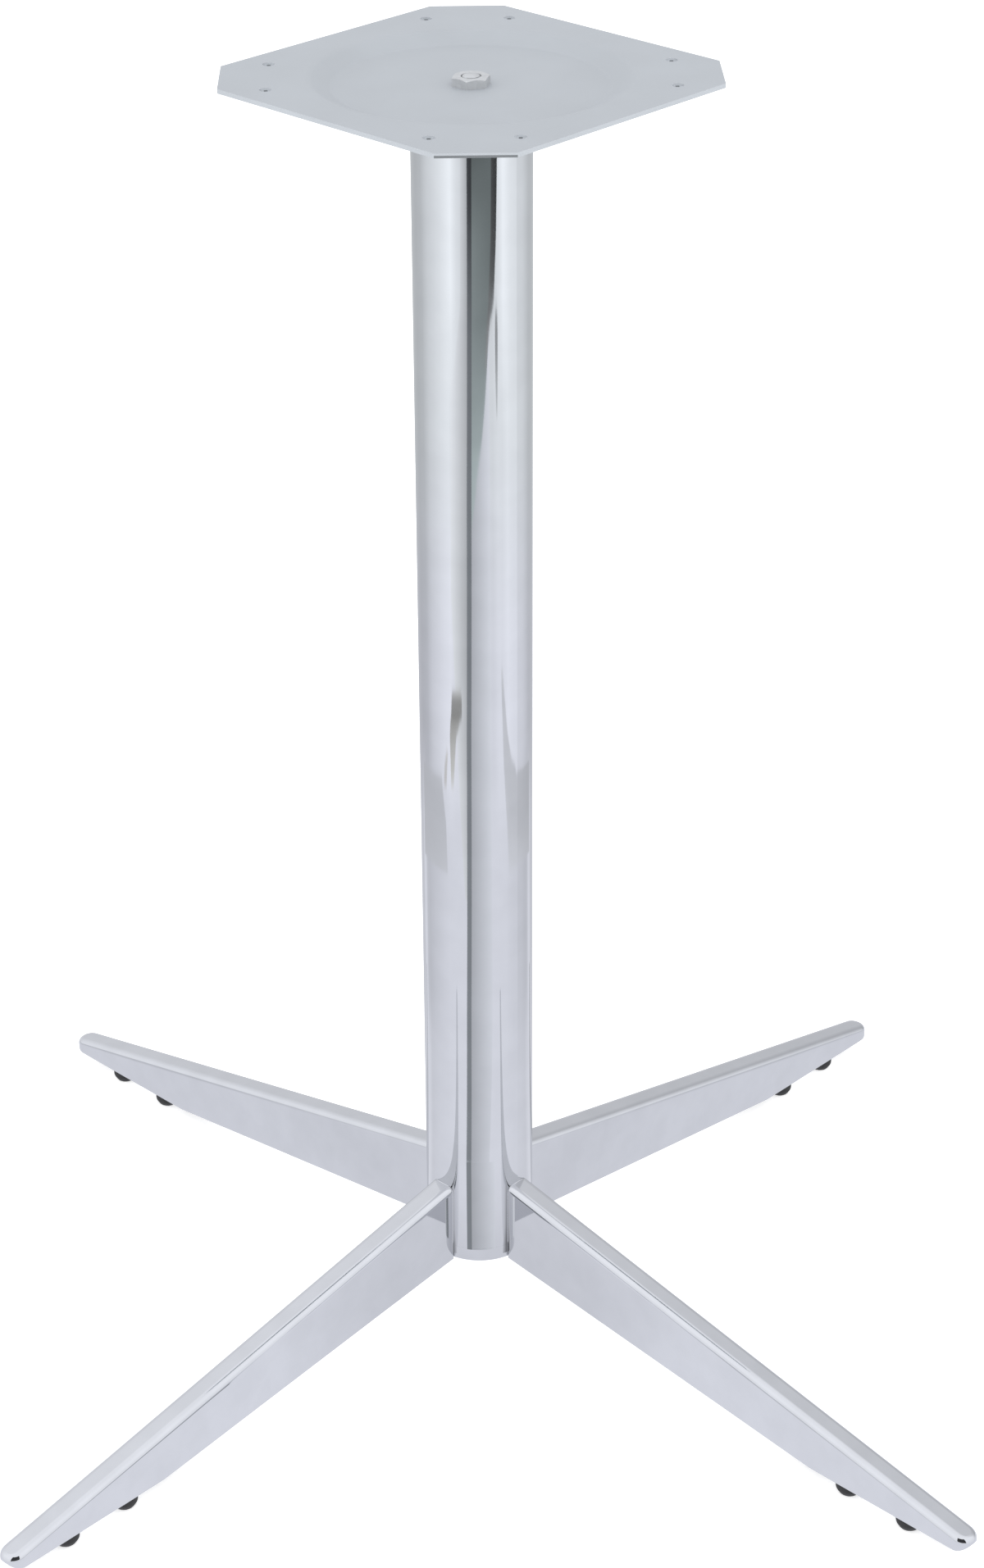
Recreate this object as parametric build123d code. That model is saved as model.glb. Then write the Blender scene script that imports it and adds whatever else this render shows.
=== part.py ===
"""Four-leg pedestal table base in chromed steel.

A round column stands on four tapered legs, folded from sheet, that are welded round its foot. A pressed
plate with cut corners lies on top of the column and takes the table top. One threaded rod runs down the
column and clamps the plate, the column and the disc at its foot together. Each leg stands on two rubber
pads, pushed into a strip that is welded between its walls.

Frame: origin on the floor below the column's axis, +Z up. The legs point along +X, +Y, -X and -Y, and the
plate's sides lie square to them. All sizes are in millimetres.
"""

from build123d import *
import math
import os

# Overall
base_height = 720.0

# Top plate, pressed from sheet
plate_side = 200.0
plate_corner_cut = 27.0
plate_thickness = 2.3
dish_diameter = 158.0
dish_depth = 5.0
dish_wall_angle = 25.0
dish_bend_radius = 5.0
screw_hole_diameter = 6.0
screw_hole_far = 85.0
screw_hole_near = 55.0

# Column
column_diameter = 60.5
column_wall = 1.5

# Discs that close and centre the column
locating_disc_thickness = 3.0
foot_disc_thickness = 9.0
foot_disc_bottom = 35.0
foot_disc_chamfer = 1.0
spigot_height = 4.0
spigot_clearance = 0.15

# Threaded rod with its nuts and washer
rod_diameter = 10.0
rod_chamfer = 1.0
rod_hole_clearance = 0.5
thread_clearance = 0.05
nut_across_flats = 17.0
thin_nut_height = 4.5
full_nut_height = 8.0
washer_diameter = 21.0
washer_thickness = 2.0
rod_top_stand = 0.3
rod_bottom_stand = 2.5

# Legs, folded from sheet, open below
leg_reach = 356.0
leg_width = 15.0
leg_wall = 1.5
leg_fold_radius = 4.0
leg_top_at_column = 84.0
leg_top_at_tip = 15.0
leg_bottom_at_column = 34.5
leg_flat_length = 103.5
nose_lift = 4.5
nose_lift_length = 9.0
weld_gap = 0.3

# Pads and the strips that hold them
pad_diameter = 14.8
pad_height = 7.5
pad_sole_diameter = 10.5
pad_rim_height = 4.0
pad_stem_diameter = 5.0
pad_barb_diameter = 6.2
pad_barb_height = 2.6
pad_hole_clearance = 0.1
pad_flats = 24
pad_outer_from_tip = 41.5
pad_spacing = 40.5
strip_thickness = 2.0
strip_end_margin = 12.0
strip_clearance = 0.1

# Levels and radii that follow from the sizes above
column_radius = column_diameter / 2
column_bore_radius = column_radius - column_wall
dish_floor_top = base_height - dish_depth
dish_floor_bottom = dish_floor_top - plate_thickness
column_top = dish_floor_bottom
column_bottom = foot_disc_bottom + foot_disc_thickness
rod_radius = rod_diameter / 2
rod_hole_radius = rod_radius + rod_hole_clearance
leg_flat_height = pad_height
leg_flat_start = leg_reach - leg_flat_length
pad_outer_reach = leg_reach - pad_outer_from_tip
pad_inner_reach = pad_outer_reach - pad_spacing
leg_slope = (leg_top_at_tip - leg_top_at_column) / (leg_reach - column_radius)
leg_top_at_axis = leg_top_at_column - leg_slope * column_radius
leg_directions = {"right": 0.0, "back": 90.0, "left": 180.0, "front": 270.0}


def dish_profile(drop, radii=None):
    """Line of one face of the dish, from the axis out to beyond its rim, moved down by drop.

    With radii, the bends at the dish's floor and rim are rounded; without, they are plain.
    """
    wall_run = dish_depth / math.tan(math.radians(dish_wall_angle))
    shift = drop * math.tan(math.radians(dish_wall_angle / 2))
    rim = dish_diameter / 2 + shift
    beyond = rim + dish_bend_radius + 2 * plate_thickness
    floor_z = dish_floor_top - drop
    rim_z = base_height - drop
    points = [(0, floor_z), (rim - wall_run, floor_z), (rim, rim_z), (beyond, rim_z)]
    return FilletPolyline(*points, radius=radii) if radii else Polyline(*points)


def revolved_below(line, level):
    """Solid of revolution between a profile line and a level plane."""
    start = line @ 0
    end = line @ 1
    closing = Polyline((end.X, end.Y), (end.X, level), (start.X, level), (start.X, start.Y))
    face = make_face(Wire([*line.edges(), *closing.edges()]))
    upright = Plane.XZ * face
    return revolve(upright, axis=Axis.Z)


def make_top_plate():
    """Square plate with cut corners, a pressed dish, eight screw holes and the rod's hole."""
    outline = chamfer(Rectangle(plate_side, plate_side).vertices(), plate_corner_cut)
    slab = Pos(0, 0, base_height - plate_thickness) * extrude(outline, plate_thickness)
    outer_bend = dish_bend_radius + plate_thickness
    under_face = dish_profile(plate_thickness)
    upper_face = dish_profile(0, [dish_bend_radius, outer_bend])
    plate = slab + revolved_below(under_face, base_height - plate_thickness / 2)
    plate -= revolved_below(upper_face, base_height + plate_thickness)
    hole = Cylinder(screw_hole_diameter / 2, 4 * plate_thickness)
    for across, along in ((screw_hole_far, screw_hole_near), (screw_hole_near, screw_hole_far)):
        for side in (-1, 1):
            for end in (-1, 1):
                plate -= Pos(side * across, end * along, base_height) * hole
    rod_hole = Cylinder(rod_hole_radius, 4 * plate_thickness)
    return plate - Pos(0, 0, dish_floor_top) * rod_hole


def make_locating_disc():
    """Disc under the dish that keeps the column on the plate's centre."""
    disc = Cylinder(column_bore_radius - spigot_clearance, locating_disc_thickness)
    disc -= Cylinder(rod_hole_radius, 2 * locating_disc_thickness)
    return Pos(0, 0, column_top - locating_disc_thickness / 2) * disc


def make_column_tube():
    """Round tube between the foot disc and the plate."""
    length = column_top - column_bottom
    tube = Cylinder(column_radius, length) - Cylinder(column_bore_radius, length)
    return Pos(0, 0, column_bottom + length / 2) * tube


def make_foot_disc():
    """Turned disc that closes the foot of the column, with a spigot inside the tube."""
    disc = Cylinder(column_radius, foot_disc_thickness)
    disc = chamfer(disc.edges().group_by(Axis.Z)[0], foot_disc_chamfer)
    spigot = Cylinder(column_bore_radius - spigot_clearance, spigot_height)
    whole = disc + Pos(0, 0, (foot_disc_thickness + spigot_height) / 2) * spigot
    whole -= Cylinder(rod_hole_radius, 4 * (foot_disc_thickness + spigot_height))
    return Pos(0, 0, foot_disc_bottom + foot_disc_thickness / 2) * whole


def make_nut(height, level):
    """Hexagon nut with chamfered corners, its lower face at the given level."""
    corner_radius = nut_across_flats / 2 / math.cos(math.radians(30))
    blank = extrude(RegularPolygon(corner_radius, 6), height)
    turned = Pos(0, 0, height / 2) * Cylinder(corner_radius, height)
    corner_bevel = corner_radius - nut_across_flats / 2
    turned = chamfer(turned.edges().group_by(Axis.Z)[-1], corner_bevel / 2, corner_bevel)
    bore = Cylinder(rod_radius + thread_clearance, 4 * height)
    return Pos(0, 0, level) * ((blank & turned) - bore)


def make_washer():
    """Flat washer under the foot disc."""
    ring = Cylinder(washer_diameter / 2, washer_thickness)
    ring -= Cylinder(rod_hole_radius, 2 * washer_thickness)
    return Pos(0, 0, foot_disc_bottom - washer_thickness / 2) * ring


def make_tie_rod():
    """Threaded rod from below the lower nut to just above the thin nut."""
    top = dish_floor_top + thin_nut_height + rod_top_stand
    bottom = foot_disc_bottom - washer_thickness - full_nut_height - rod_bottom_stand
    rod = Cylinder(rod_radius, top - bottom)
    rod = chamfer(rod.edges().filter_by(GeomType.CIRCLE), rod_chamfer)
    return Pos(0, 0, (top + bottom) / 2) * rod


def folded_form(inset, fold_radius, top_drop):
    """Solid under one face of the folded sheet along +X: upright sides, round nose, folded-over top."""
    top_at_axis = leg_top_at_axis - top_drop
    tip = leg_reach - inset
    half_width = leg_width / 2 - inset
    side = Polyline((0, 0), (tip, 0), (tip, top_at_axis + leg_slope * tip), (0, top_at_axis), close=True)
    block = extrude(Plane.XZ * make_face(side), half_width, both=True)
    nose_centre = tip - half_width
    plan = Pos(nose_centre / 2, 0) * Rectangle(nose_centre, 2 * half_width)
    plan += Pos(nose_centre, 0) * Circle(half_width)
    block &= extrude(plan, leg_top_at_axis)
    top_face = block.faces().sort_by(lambda face: face.normal_at().Z)[-1]
    folds = top_face.edges().filter_by(lambda edge: edge.center().X > column_radius / 2)
    return fillet(folds, fold_radius)


def leg_side_view():
    """Area of the leg seen from its side: tapered, level under the pads, lifted under the nose."""
    slope = (leg_flat_height - leg_bottom_at_column) / (leg_flat_start - column_radius)
    bottom_at_axis = leg_bottom_at_column - slope * column_radius
    nose_start = (leg_reach - nose_lift_length, leg_flat_height)
    nose_end = (leg_reach, leg_flat_height + nose_lift)
    underside = Polyline((0, bottom_at_axis), (leg_flat_start, leg_flat_height), nose_start)
    nose = TangentArc(nose_start, nose_end, tangent=(1, 0))
    above = Polyline(nose_end, (leg_reach, leg_top_at_axis), (0, leg_top_at_axis), (0, bottom_at_axis))
    return make_face(Wire([*underside.edges(), *nose.edges(), *above.edges()]))


def make_leg(angle):
    """Folded leg with a closed round nose, open below and cut to seat on the column."""
    sheet_drop = leg_wall * math.hypot(1, leg_slope)
    shell = folded_form(0, leg_fold_radius, 0)
    shell -= folded_form(leg_wall, leg_fold_radius - leg_wall, sheet_drop)
    shell &= extrude(Plane.XZ * leg_side_view(), leg_width, both=True)
    shell -= Cylinder(column_radius + weld_gap, 4 * leg_top_at_column)
    return Rot(0, 0, angle) * shell


def make_strip(angle):
    """Strip welded between the leg's walls, flush with their lower edges, holed for the pads."""
    width = leg_width - 2 * (leg_wall + strip_clearance)
    length = pad_spacing + 2 * strip_end_margin
    middle = (pad_inner_reach + pad_outer_reach) / 2
    strip = Box(length, width, strip_thickness)
    strip = Pos(middle, 0, leg_flat_height + strip_thickness / 2) * strip
    hole = Cylinder(pad_stem_diameter / 2 + pad_hole_clearance, 4 * strip_thickness)
    for reach in (pad_inner_reach, pad_outer_reach):
        strip -= Pos(reach, 0, leg_flat_height) * hole
    return Rot(0, 0, angle) * strip


def make_pad(angle, reach):
    """Tapered rubber pad with a barbed stem pushed up through the strip, its round faces given as flats."""
    rim = pad_diameter / 2
    stem = pad_stem_diameter / 2
    neck_top = leg_flat_height + strip_thickness + pad_hole_clearance
    stages = [
        (0, pad_sole_diameter / 2, pad_height - pad_rim_height, rim),
        (pad_height - pad_rim_height, rim, pad_height, rim),
        (pad_height, stem, neck_top, stem),
        (neck_top, pad_barb_diameter / 2, neck_top + pad_barb_height, stem / 2),
    ]
    flat_to_corner = math.cos(math.pi / pad_flats)
    pad = Part()
    for low, low_radius, high, high_radius in stages:
        narrowing = math.atan2((low_radius - high_radius) * flat_to_corner, high - low)
        section = RegularPolygon(low_radius, pad_flats)
        pad += Pos(0, 0, low) * extrude(section, high - low, taper=math.degrees(narrowing))
    return Rot(0, 0, angle) * (Pos(reach, 0, 0) * pad)


def main():
    """Writes one STEP file for each piece."""
    lower_nut_level = foot_disc_bottom - washer_thickness - full_nut_height
    pieces = {
        "top_plate": make_top_plate(),
        "locating_disc": make_locating_disc(),
        "column_tube": make_column_tube(),
        "foot_disc": make_foot_disc(),
        "tie_rod": make_tie_rod(),
        "top_nut": make_nut(thin_nut_height, dish_floor_top),
        "lower_washer": make_washer(),
        "lower_nut": make_nut(full_nut_height, lower_nut_level),
    }
    for side, angle in leg_directions.items():
        pieces[f"leg_{side}"] = make_leg(angle)
        pieces[f"foot_strip_{side}"] = make_strip(angle)
        pieces[f"pad_{side}_outer"] = make_pad(angle, pad_outer_reach)
        pieces[f"pad_{side}_inner"] = make_pad(angle, pad_inner_reach)
    os.makedirs("parts", exist_ok=True)
    for name, piece in pieces.items():
        export_step(piece, f"parts/{name}.step")


main()
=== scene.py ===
"""Dresses a chromed pedestal table base and sets it in a plain bright studio.

The solids of the base are loaded as they are, in metres, with +Z up and the floor at z = 0.
This file gives every one of them the finish of the real thing, puts modelled pieces in place
of the plain rod and pads, adds the welds, and makes the floor, the lights and the camera.
"""
import math

import bmesh
import bpy
from mathutils import Matrix, Vector, noise


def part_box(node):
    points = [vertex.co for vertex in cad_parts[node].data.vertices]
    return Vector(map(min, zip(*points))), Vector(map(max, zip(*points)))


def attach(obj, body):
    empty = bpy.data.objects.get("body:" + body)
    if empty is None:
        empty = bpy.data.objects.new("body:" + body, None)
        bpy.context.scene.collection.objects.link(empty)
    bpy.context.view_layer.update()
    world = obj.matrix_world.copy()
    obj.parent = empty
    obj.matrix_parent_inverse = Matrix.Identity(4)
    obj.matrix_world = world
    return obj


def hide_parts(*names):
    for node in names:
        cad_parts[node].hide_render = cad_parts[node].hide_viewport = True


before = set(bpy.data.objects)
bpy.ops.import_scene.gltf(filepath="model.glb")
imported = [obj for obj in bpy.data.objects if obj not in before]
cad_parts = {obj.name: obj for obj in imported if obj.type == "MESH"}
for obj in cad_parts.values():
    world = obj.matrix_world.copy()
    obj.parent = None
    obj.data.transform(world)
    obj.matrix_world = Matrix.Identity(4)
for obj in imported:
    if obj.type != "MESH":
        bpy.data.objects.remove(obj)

bl_info = {
    "name": "Chromed Table Base",
    "version": (1, 0, 0),
    "blender": (4, 5, 0),
    "location": "3D View > Sidebar > Table Base",
    "description": "Finishes, small parts and studio for a pedestal table base on four legs",
    "category": "Add Mesh",
}

MM = 0.001
SIDES = ("right", "back", "left", "front")
LEG_ANGLES = {"right": 0.0, "back": 90.0, "left": 180.0, "front": 270.0}
LEG_SHEET = 1.5 * MM
LEG_FOLD = 4.0 * MM
SEAT_GAP = 0.3 * MM  # between a leg's end and the column, in the solids

plate_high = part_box("top_plate")[1]
column_low, column_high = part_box("column_tube")
rod_low, rod_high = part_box("tie_rod")
leg_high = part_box("leg_right")[1]
pad_low, pad_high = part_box("pad_right_outer")
strip_low, strip_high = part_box("foot_strip_right")


def linear(hex_colour):
    """Turns an sRGB hex colour into the linear RGBA that the shaders work in."""
    values = [int(hex_colour[i:i + 2], 16) / 255 for i in (1, 3, 5)]
    curve = [v / 12.92 if v <= 0.04045 else ((v + 0.055) / 1.055) ** 2.4 for v in values]
    return (*curve, 1.0)


def paler(colour, share):
    """The same linear colour, lighter by that share, or darker by a negative one."""
    return (*(min(1.0, c * (1 + share)) for c in colour[:3]), 1.0)


def add_node(tree, kind, settings=None, links=None):
    """Adds a shader node, sets its properties, inputs and colour stops, and links its inputs."""
    node = tree.nodes.new(kind)
    for name, value in (settings or {}).items():
        if name == "stops":
            ramp = node.color_ramp
            while len(ramp.elements) < len(value):
                ramp.elements.new(1.0)
            for element, (place, colour) in zip(ramp.elements, value):
                element.position = place
                element.color = colour
        elif isinstance(name, int) or name in node.inputs:
            node.inputs[name].default_value = value
        else:
            setattr(node, name, value)
    for name, socket in (links or {}).items():
        tree.links.new(socket, node.inputs[name])
    return node


def grey(level):
    """A grey of that linear level, for a colour stop."""
    return (level, level, level, 1.0)


def new_material(name):
    """An empty node material, its node tree, its output and the place on the object in metres."""
    material = bpy.data.materials.new(name)
    material.use_nodes = True
    tree = material.node_tree
    tree.nodes.clear()
    output = add_node(tree, "ShaderNodeOutputMaterial")
    place = add_node(tree, "ShaderNodeTexCoord").outputs["Object"]
    return material, tree, output, place


def chrome_plated_steel(colours, name="chrome-plated steel", wave_height=0.10 * MM, haze=0.05):
    """Bright decorative chrome over polished steel.

    It mirrors the studio sharply, with a cool grey tone of its own. The polishing wheel leaves
    the steel below gently wavy, which bends the long reflections a little, and a faint haze.
    """
    uneven = 0.02
    material, tree, output, place = new_material(name)
    waves = add_node(
        tree, "ShaderNodeTexNoise", {"Scale": 1 / (70 * MM), "Detail": 1.0}, {"Vector": place},
    )
    bump = add_node(
        tree, "ShaderNodeBump", {"Strength": 1.0, "Distance": wave_height},
        {"Height": waves.outputs["Fac"]},
    )
    wiping = add_node(
        tree, "ShaderNodeTexNoise", {"Scale": 1 / (18 * MM), "Detail": 4.0}, {"Vector": place},
    )
    tone = add_node(
        tree, "ShaderNodeValToRGB",
        {"stops": [(0.35, paler(colours.chrome, -uneven)), (0.65, paler(colours.chrome, uneven))]},
        {"Fac": wiping.outputs["Fac"]},
    )
    roughness = add_node(
        tree, "ShaderNodeMapRange",
        {"From Min": 0.3, "From Max": 0.7, "To Min": haze * 0.7, "To Max": haze * 1.3},
        {"Value": wiping.outputs["Fac"]},
    )
    shader = add_node(
        tree, "ShaderNodeBsdfPrincipled", {"Metallic": 1.0},
        {"Base Color": tone.outputs["Color"], "Roughness": roughness.outputs["Result"],
         "Normal": bump.outputs["Normal"]},
    )
    tree.links.new(shader.outputs[0], output.inputs["Surface"])
    return material


def powder_coated_pressed_steel(colours):
    """Pressed steel sheet with a light grey powder coat.

    The baked powder is matte with a fine orange peel, and a shade uneven where it lay thicker.
    The corners are cut off last, and a dark line is painted low on their edges: partly the bare steel of
    the cut, partly painted shade for the shadow line under the corners.
    A corner's edge is told by its normal: X times Y is near a half there and 0 on the long edges.
    """
    bare_steel_and_shadow = linear("#6E7276")
    corner_facing = 0.4
    shadow_line_below = plate_high.z - 1.1 * MM
    material, tree, output, place = new_material("powder-coated pressed steel")
    peel = add_node(
        tree, "ShaderNodeTexNoise", {"Scale": 1 / (1.6 * MM), "Detail": 2.0}, {"Vector": place},
    )
    bump = add_node(
        tree, "ShaderNodeBump", {"Strength": 1.0, "Distance": 0.02 * MM},
        {"Height": peel.outputs["Fac"]},
    )
    cloud = add_node(
        tree, "ShaderNodeTexNoise", {"Scale": 1 / (35 * MM), "Detail": 3.0}, {"Vector": place},
    )
    tone = add_node(
        tree, "ShaderNodeValToRGB",
        {"stops": [(0.3, paler(colours.plate, -0.025)), (0.7, paler(colours.plate, 0.025))]},
        {"Fac": cloud.outputs["Fac"]},
    )
    normal = add_node(tree, "ShaderNodeTexCoord").outputs["Normal"]
    facing = add_node(tree, "ShaderNodeSeparateXYZ", {}, {0: normal})
    slant = add_node(
        tree, "ShaderNodeMath", {"operation": "MULTIPLY"},
        {0: facing.outputs["X"], 1: facing.outputs["Y"]},
    )
    slant_size = add_node(tree, "ShaderNodeMath", {"operation": "ABSOLUTE"}, {0: slant.outputs[0]})
    corner = add_node(
        tree, "ShaderNodeMath", {"operation": "GREATER_THAN", 1: corner_facing},
        {0: slant_size.outputs[0]},
    )
    # Painted shade: the corner edges are darkened below the top, partly as bare steel and partly as the
    # shadow line under the corners.
    spot = add_node(tree, "ShaderNodeSeparateXYZ", {}, {0: place})
    low = add_node(
        tree, "ShaderNodeMath", {"operation": "LESS_THAN", 1: shadow_line_below}, {0: spot.outputs["Z"]},
    )
    sheared = add_node(
        tree, "ShaderNodeMath", {"operation": "MULTIPLY"}, {0: corner.outputs[0], 1: low.outputs[0]},
    )
    coat = add_node(
        tree, "ShaderNodeMix", {"data_type": "RGBA", 7: bare_steel_and_shadow},
        {0: sheared.outputs[0], 6: tone.outputs["Color"]},
    )
    roughness = add_node(
        tree, "ShaderNodeMapRange",
        {"From Min": 0.3, "From Max": 0.7, "To Min": 0.46, "To Max": 0.54},
        {"Value": cloud.outputs["Fac"]},
    )
    shader = add_node(
        tree, "ShaderNodeBsdfPrincipled", {"Metallic": 0.0, "IOR": 1.5},
        {"Base Color": coat.outputs[2], "Roughness": roughness.outputs["Result"],
         "Normal": bump.outputs["Normal"]},
    )
    tree.links.new(shader.outputs[0], output.inputs["Surface"])
    return material


def zinc_plated_steel(colours):
    """Zinc on bought-in steel parts.

    Its thin whitish film scatters the light, so it is a pale grey with small crystal patches,
    nearly matte beside the chrome. Real patches are finer and wouldn't show, so they are drawn
    2.5 mm wide.
    """
    material, tree, output, place = new_material("zinc-plated steel")
    crystals = add_node(
        tree, "ShaderNodeTexVoronoi", {"Scale": 1 / (2.5 * MM), "Randomness": 1.0}, {"Vector": place},
    )
    patch = add_node(tree, "ShaderNodeSeparateColor", {}, {"Color": crystals.outputs["Color"]})
    tone = add_node(
        tree, "ShaderNodeValToRGB",
        {"stops": [(0.0, paler(colours.zinc, -0.05)), (1.0, paler(colours.zinc, 0.05))]},
        {"Fac": patch.outputs["Red"]},
    )
    roughness = add_node(
        tree, "ShaderNodeMapRange", {"To Min": 0.46, "To Max": 0.56}, {"Value": patch.outputs["Green"]},
    )
    grain = add_node(
        tree, "ShaderNodeTexNoise", {"Scale": 1 / (0.6 * MM), "Detail": 2.0}, {"Vector": place},
    )
    bump = add_node(
        tree, "ShaderNodeBump", {"Strength": 1.0, "Distance": 0.006 * MM},
        {"Height": grain.outputs["Fac"]},
    )
    shader = add_node(
        tree, "ShaderNodeBsdfPrincipled", {"Metallic": 0.5},
        {"Base Color": tone.outputs["Color"], "Roughness": roughness.outputs["Result"],
         "Normal": bump.outputs["Normal"]},
    )
    tree.links.new(shader.outputs[0], output.inputs["Surface"])
    return material


def moulded_rubber(colours):
    """Black moulded rubber, matte, with the fine pitted skin that the mould leaves.

    The pits of the real skin are finer than the view shows, so they are drawn 0.8 mm wide.
    """
    material, tree, output, place = new_material("moulded rubber")
    skin = add_node(
        tree, "ShaderNodeTexNoise", {"Scale": 1 / (0.8 * MM), "Detail": 3.0}, {"Vector": place},
    )
    bump = add_node(
        tree, "ShaderNodeBump", {"Strength": 1.0, "Distance": 0.03 * MM},
        {"Height": skin.outputs["Fac"]},
    )
    tone = add_node(
        tree, "ShaderNodeValToRGB",
        {"stops": [(0.3, paler(colours.rubber, -0.2)), (0.7, paler(colours.rubber, 0.35))]},
        {"Fac": skin.outputs["Fac"]},
    )
    roughness = add_node(
        tree, "ShaderNodeMapRange", {"To Min": 0.62, "To Max": 0.8}, {"Value": skin.outputs["Fac"]},
    )
    shader = add_node(
        tree, "ShaderNodeBsdfPrincipled", {"Metallic": 0.0, "IOR": 1.52},
        {"Base Color": tone.outputs["Color"], "Roughness": roughness.outputs["Result"],
         "Normal": bump.outputs["Normal"]},
    )
    tree.links.new(shader.outputs[0], output.inputs["Surface"])
    return material


def dress(names, material):
    """Puts one material in every slot of these CAD solids."""
    for name in names:
        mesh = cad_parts[name].data
        if not mesh.materials:
            mesh.materials.append(material)
        for index in range(len(mesh.materials)):
            mesh.materials[index] = material


def new_piece(name, vertices, faces, material, replaced=()):
    """Makes a smooth-shaded mesh piece that rides on the base."""
    mesh = bpy.data.meshes.new(name)
    mesh.from_pydata([tuple(v) for v in vertices], [], faces)
    work = bmesh.new()
    work.from_mesh(mesh)
    bmesh.ops.recalc_face_normals(work, faces=work.faces)
    work.to_mesh(mesh)
    work.free()
    mesh.materials.append(material)
    mesh.shade_smooth()
    piece = bpy.data.objects.new(name, mesh)
    bpy.context.scene.collection.objects.link(piece)
    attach(piece, "root")
    if replaced:
        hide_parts(*replaced)
    return piece


def angles_round(count):
    """Angles of that many equal steps round a circle."""
    return [math.tau * step / count for step in range(count)]


def ring_faces(rings, count):
    """Quads that join rings of that many vertices each, one ring after the other."""
    faces = []
    for low in range(0, (rings - 1) * count, count):
        for step in range(count):
            after = (step + 1) % count
            faces.append((low + step, low + after, low + count + after, low + count + step))
    return faces


def capped_faces(rings, count):
    """Faces of a closed round form: one pole, rings of that many vertices each, the other pole."""
    top = 1 + (rings - 1) * count
    last = top + count
    faces = []
    for step in range(count):
        after = (step + 1) % count
        faces.append((0, 1 + after, 1 + step))
        for low in range(1, top, count):
            faces.append((low + step, low + after, low + count + after, low + count + step))
        faces.append((top + step, top + after, last))
    return faces


def turned(outline, count, centre):
    """Vertices and faces of a closed solid of revolution, from an outline of (radius, height).

    The outline starts and ends on the axis, and its two end points become the poles.
    """
    x, y = centre
    vertices = [(x, y, outline[0][1])]
    for radius, height in outline[1:-1]:
        for angle in angles_round(count):
            vertices.append((x + radius * math.cos(angle), y + radius * math.sin(angle), height))
    vertices.append((x, y, outline[-1][1]))
    return vertices, capped_faces(len(outline) - 2, count)


def rounded(corners, radius):
    """An outline with each inner corner replaced by a short curve, as moulded parts have."""
    steps = 4
    longest = 0.45  # share of a side that a curve may take up
    outline = [corners[0]]
    for before, corner, after in zip(corners, corners[1:], corners[2:]):
        here = Vector(corner)
        to_before = Vector(before) - here
        to_after = Vector(after) - here
        reach = min(radius, to_before.length * longest, to_after.length * longest)
        start = here + to_before.normalized() * reach
        end = here + to_after.normalized() * reach
        for step in range(steps + 1):
            share = step / steps
            point = start * (1 - share) ** 2 + here * 2 * share * (1 - share) + end * share ** 2
            outline.append(tuple(point))
    outline.append(corners[-1])
    return outline


class TableBaseColours(bpy.types.PropertyGroup):
    """Colours of the finishes."""

    chrome: bpy.props.FloatVectorProperty(
        name="Chrome", description="Tone of the chrome plating", subtype="COLOR", size=4,
        min=0.0, max=1.0, default=linear("#CBCCCF"),
    )
    plate: bpy.props.FloatVectorProperty(
        name="Plate", description="Powder coat of the top plate", subtype="COLOR", size=4,
        min=0.0, max=1.0, default=linear("#ABB0B6"),
    )
    zinc: bpy.props.FloatVectorProperty(
        name="Zinc", description="Zinc plating of the rod, nuts, washer and strips", subtype="COLOR",
        size=4, min=0.0, max=1.0, default=linear("#C1C3C5"),
    )
    rubber: bpy.props.FloatVectorProperty(
        name="Rubber", description="Rubber of the pads", subtype="COLOR", size=4,
        min=0.0, max=1.0, default=linear("#1C1C1D"),
    )


class TableBaseSizes(bpy.types.PropertyGroup):
    """Sizes of the small modelled parts."""

    thread_pitch: bpy.props.FloatProperty(
        name="Thread Pitch", description="Rise of one turn of the rod's thread", unit="LENGTH",
        precision=4, min=0.5 * MM, max=3 * MM, default=1.5 * MM,
    )
    threaded_length: bpy.props.FloatProperty(
        name="Threaded Length", description="Length of the thread at each end of the rod",
        unit="LENGTH", precision=4, min=5 * MM, max=100 * MM, default=30 * MM,
    )
    weld_radius: bpy.props.FloatProperty(
        name="Weld Radius", description="Half the width of the weld beads inside the legs",
        unit="LENGTH", precision=4, min=0.5 * MM, max=3 * MM, default=1.6 * MM,
    )
    seam_radius: bpy.props.FloatProperty(
        name="Seam Radius", description="Half the width of the filled seam where a leg meets the column",
        unit="LENGTH", precision=4, min=0.2 * MM, max=1 * MM, default=0.35 * MM,
    )
    ripple_spacing: bpy.props.FloatProperty(
        name="Ripple Spacing", description="Distance between the ripples of a weld bead",
        unit="LENGTH", precision=4, min=0.5 * MM, max=5 * MM, default=1.8 * MM,
    )
    pad_rounding: bpy.props.FloatProperty(
        name="Pad Rounding", description="Size of the rounded corners of the pads", unit="LENGTH",
        precision=4, min=0.1 * MM, max=2 * MM, default=1.1 * MM,
    )


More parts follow.
